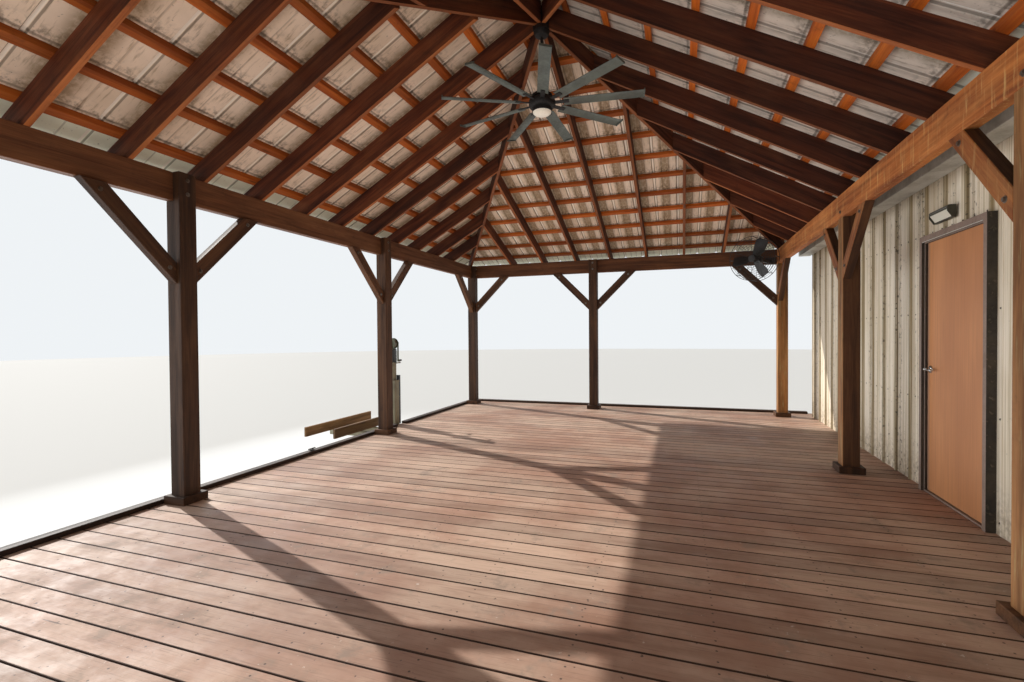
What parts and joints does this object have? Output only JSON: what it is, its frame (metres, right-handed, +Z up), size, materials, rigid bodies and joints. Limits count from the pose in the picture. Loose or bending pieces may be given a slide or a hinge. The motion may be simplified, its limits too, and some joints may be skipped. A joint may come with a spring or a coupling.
{
  "type": "boathouse",
  "caption": "Boathouse on piles: an open timber pavilion with a metal hip roof and fans, beside a metal-sided shed with a door, and a small lift at the deck's edge.",
  "frame": {"origin": "middle of the footprint, at the water level where the piles end", "axes": "+X across the building from the lift to the shed, +Y along it, +Z up"},
  "size_m": [11.67, 10.1904, 5.4682],
  "materials": {
    "weathered_pile": "rough round timber, grey-brown",
    "framing_timber": "rough-sawn boards under the deck",
    "deck_stain": "worn red-brown stain",
    "curb_stain": "dark stain",
    "cleat_iron": "dark, a little rust",
    "post_stain": "dark brown stain with runs",
    "beam_stain": "brown stain, worn in places",
    "brace_stain": "brown stain",
    "rafter_stain": "dark red-brown stain",
    "purlin_wood": "orange-brown unpainted softwood",
    "fascia_stain": "dark stain",
    "roof_metal": "ribbed sheet, weathered and stained",
    "cap_metal": "folded sheet, weathered",
    "siding": "cream ribbed siding with dirt runs",
    "gutter_metal": "light grey folded sheet",
    "frame_paint": "taupe paint on steel",
    "door_paint": "tan paint on steel",
    "handle_chrome": "polished",
    "lamp_bronze": "dark bronze with a pale diffuser",
    "fan_black": "black powder coat",
    "fan_lens": "frosted white",
    "blade_metal": "grey-green paint",
    "drum_black": "black wire and sheet",
    "lift_steel": "galvanised, weathered",
    "winch_black": "black housing, dull metal drum",
    "bunk_wood": "bare weathered boards"
  },
  "bodies": {
    "root": {"piles": "weathered_pile", "girders": "framing_timber", "floor_joists": "framing_timber", "rim_boards": "framing_timber", "deck_boards": "deck_stain", "deck_curb": "curb_stain", "mooring_cleat": "cleat_iron", "posts": "post_stain", "post_collars": "post_stain", "side_beams": "beam_stain", "end_beams": "beam_stain", "knee_braces": "brace_stain", "rafters": "rafter_stain", "hip_rafters": "rafter_stain", "roof_hub": "rafter_stain", "purlins": "purlin_wood", "fascia_boards": "fascia_stain", "roof_sheet_right": "roof_metal", "roof_sheet_far": "roof_metal", "roof_sheet_left": "roof_metal", "roof_sheet_near": "roof_metal", "roof_caps": "cap_metal", "shed_wall_near_door": "siding", "shed_wall_past_door": "siding", "shed_wall_over_door": "siding", "shed_wall_outer": "siding", "shed_gable_far": "siding", "shed_gable_near": "siding", "shed_roof": "roof_metal", "shed_ridge_cap": "cap_metal", "gutters": "gutter_metal", "door_frame": "frame_paint", "wall_lamp": "lamp_bronze", "ceiling_fan_mount": "fan_black", "ceiling_fan_lamp": "fan_lens", "drum_fan_cage": "drum_black", "drum_fan_arm": "drum_black", "lift_column": "lift_steel", "lift_winch": "winch_black"},
    "door": {"door_leaf": "door_paint", "door_handles": "handle_chrome"},
    "ceiling_fan_blades": {"ceiling_fan_rotor": "blade_metal"},
    "drum_fan_blades": {"drum_fan_rotor": "drum_black"},
    "cradle": {"lift_carriage": "lift_steel", "lift_bunks": "bunk_wood"}
  },
  "joints": [
    {"name": "door_hinge", "type": "hinge", "parent": "root", "child": "door", "pos_m": [1.518, -0.23, 1.97], "axis": [0, 0, -1], "range_deg": [0, 95]},
    {"name": "ceiling_fan_spin", "type": "hinge", "parent": "root", "child": "ceiling_fan_blades", "pos_m": [-1.785, 0, 4.46], "axis": [0, 0, 1], "continuous": true},
    {"name": "drum_fan_spin", "type": "hinge", "parent": "root", "child": "drum_fan_blades", "pos_m": [0.535, 4.08, 3.445], "axis": [-0.5, -0.866, 0], "continuous": true},
    {"name": "cradle_lift", "type": "slide", "parent": "root", "child": "cradle", "axis": [0, 0, 1], "range_m": [-0.4, 0.3]}
  ]
}
